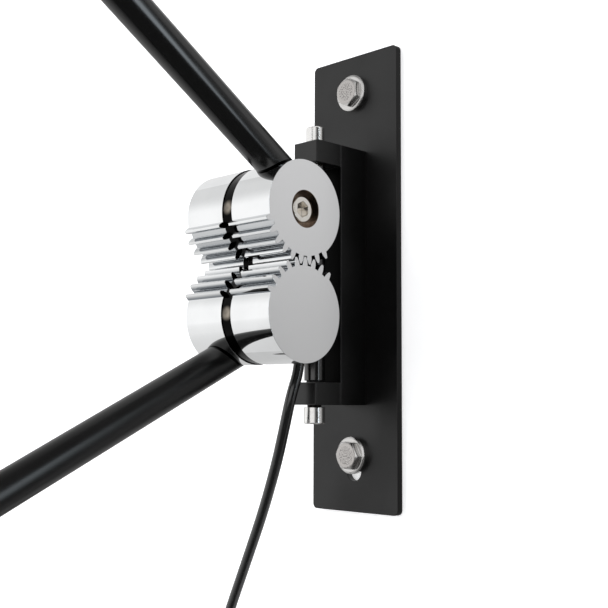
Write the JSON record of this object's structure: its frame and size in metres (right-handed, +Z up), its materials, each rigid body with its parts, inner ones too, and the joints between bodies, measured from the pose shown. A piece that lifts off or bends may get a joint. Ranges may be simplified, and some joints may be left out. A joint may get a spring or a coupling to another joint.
{
  "type": "wall lamp",
  "caption": "Counterbalanced wall lamp: a swivelling bracket with meshed half gears that tie a lamp arm to a weight arm, a flat disc lamp head and a mains cord.",
  "frame": {"origin": "middle of the wall plate's back face, on the wall", "axes": "+Y into the wall, +Z up, +X to the right of someone facing the wall"},
  "size_m": [0.2501, 0.7587, 0.6409],
  "materials": {
    "plate_paint": "satin charcoal paint",
    "bracket_paint": "satin charcoal paint",
    "hidden_steel": "plain zinc steel",
    "bolt_steel": "bright stainless steel",
    "polished_steel": "polished steel",
    "post_black": "gloss black steel",
    "bush_bronze": "plain bronze",
    "washer_nylon": "black nylon",
    "carrier_black": "semi-gloss black",
    "gland_black": "moulded black",
    "gear_chrome": "chromed rims with satin faces",
    "axle_nickel": "nickel plate",
    "pin_steel": "ground steel",
    "small_screw_black": "black oxide",
    "arm_black": "satin black",
    "weight_black": "satin black",
    "head_black": "black anodised",
    "board_white": "white solder mask",
    "diffuser_opal": "opal acrylic",
    "switch_black": "moulded black",
    "cord_black": "smooth black sheath",
    "tie_black": "soft black strap",
    "plug_black": "moulded black",
    "plug_pin_nickel": "nickelled brass",
    "lead_black": "smooth black sheath"
  },
  "bodies": {
    "bracket": {"wall_plate": "plate_paint", "c_bracket": "bracket_paint", "bracket_screws": "hidden_steel", "wall_bolts": "bolt_steel", "upper_pivot_screw": "polished_steel", "lower_pivot_screw": "polished_steel", "cord_stretch": "cord_black", "cord_coil": "cord_black", "coil_tie": "tie_black", "plug_lead": "cord_black", "plug_body": "plug_black", "plug_pins": "plug_pin_nickel"},
    "swivel": {"swivel_post": "post_black", "upper_pivot_bush": "bush_bronze", "lower_pivot_bush": "bush_bronze", "thrust_washer": "washer_nylon", "gear_carrier": "carrier_black", "upper_gear_bush": "bush_bronze", "lower_gear_bush": "bush_bronze", "cord_gland": "gland_black"},
    "weight_arm": {"upper_arm_gear": "gear_chrome", "upper_hub_gear": "gear_chrome", "upper_axle_screw": "axle_nickel", "upper_drive_pins": "pin_steel", "upper_arm_set_screw": "small_screw_black", "upper_arm_tube": "arm_black", "counterweight": "weight_black", "counterweight_screw": "small_screw_black", "upper_arm_cap": "arm_black"},
    "lamp_arm": {"lower_arm_gear": "gear_chrome", "lower_hub_gear": "gear_chrome", "lower_axle_screw": "axle_nickel", "lower_drive_pins": "pin_steel", "lower_arm_set_screw": "small_screw_black", "lower_arm_tube": "arm_black", "arm_lead": "lead_black", "arm_fork": "arm_black", "hinge_pin": "pin_steel"},
    "lamp_head": {"head_lug": "head_black", "lug_screws": "small_screw_black", "head_housing": "head_black", "led_board": "board_white", "board_screws": "hidden_steel", "diffuser": "diffuser_opal", "diffuser_ring": "head_black", "switch_body": "switch_black"},
    "button": {"switch_button": "switch_black"}
  },
  "joints": [
    {"name": "swivel_turn", "type": "hinge", "parent": "bracket", "child": "swivel", "pos_m": [0, -0.037, 0.0011], "axis": [0, 0, 1], "range_deg": [-75, 75]},
    {"name": "lamp_arm_swing", "type": "hinge", "parent": "swivel", "child": "lamp_arm", "pos_m": [0, -0.0773, -0.0259], "axis": [1, 0, 0], "range_deg": [-61, 27]},
    {"name": "weight_arm_swing", "type": "hinge", "parent": "swivel", "child": "weight_arm", "pos_m": [0, -0.0773, 0.0281], "axis": [1, 0, 0], "range_deg": [-27, 61]},
    {"name": "head_tilt", "type": "hinge", "parent": "lamp_arm", "child": "lamp_head", "pos_m": [-0.01795, -0.53668, -0.27001], "axis": [1, 0, 0], "range_deg": [-70, 70]},
    {"name": "button_press", "type": "slide", "parent": "lamp_head", "child": "button", "axis": [0, 0, -1], "range_m": [0, 0.0012], "stiffness_N_per_m": 400, "springref_m": -0.001}
  ],
  "couplings": [
    {"joint": "weight_arm_swing", "follows": "lamp_arm_swing", "ratio": -1}
  ]
}
